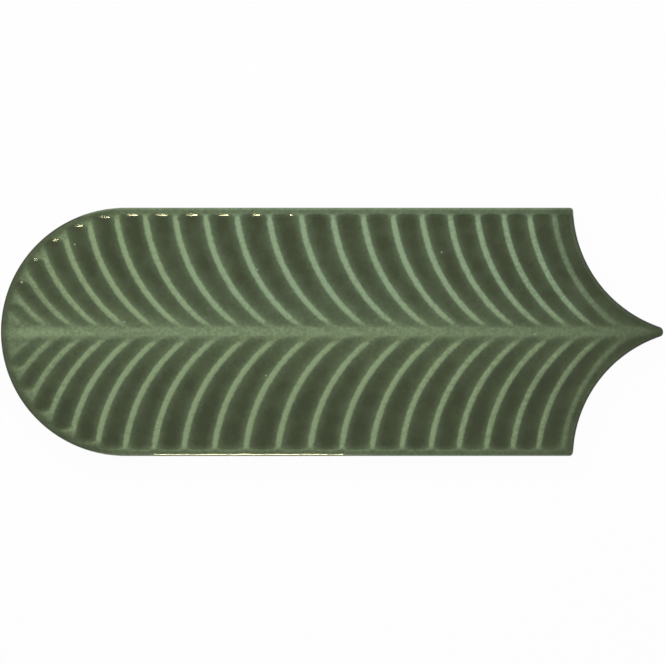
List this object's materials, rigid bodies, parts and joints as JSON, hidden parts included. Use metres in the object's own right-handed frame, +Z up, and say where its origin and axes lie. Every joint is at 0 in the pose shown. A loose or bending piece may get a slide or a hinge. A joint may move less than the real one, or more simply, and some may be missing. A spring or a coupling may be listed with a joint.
{
  "type": "fish scale tile",
  "caption": "Long glazed ceramic wall tile, round at one end and hollowed to a point at the other, fluted like a feather on both sides of a midrib, for walls where the tiles nest.",
  "frame": {"origin": "middle of the back of the tile, halfway along its length and width", "axes": "+X along the tile towards the point, +Y across it, +Z up out of the glazed face"},
  "size_m": [0.2, 0.075, 0.009],
  "materials": {
    "glazed_body": "glossy olive green glaze on the face and edges, bare fired body on the back"
  },
  "bodies": {
    "root": {"tile": "glazed_body"}
  },
  "joints": []
}
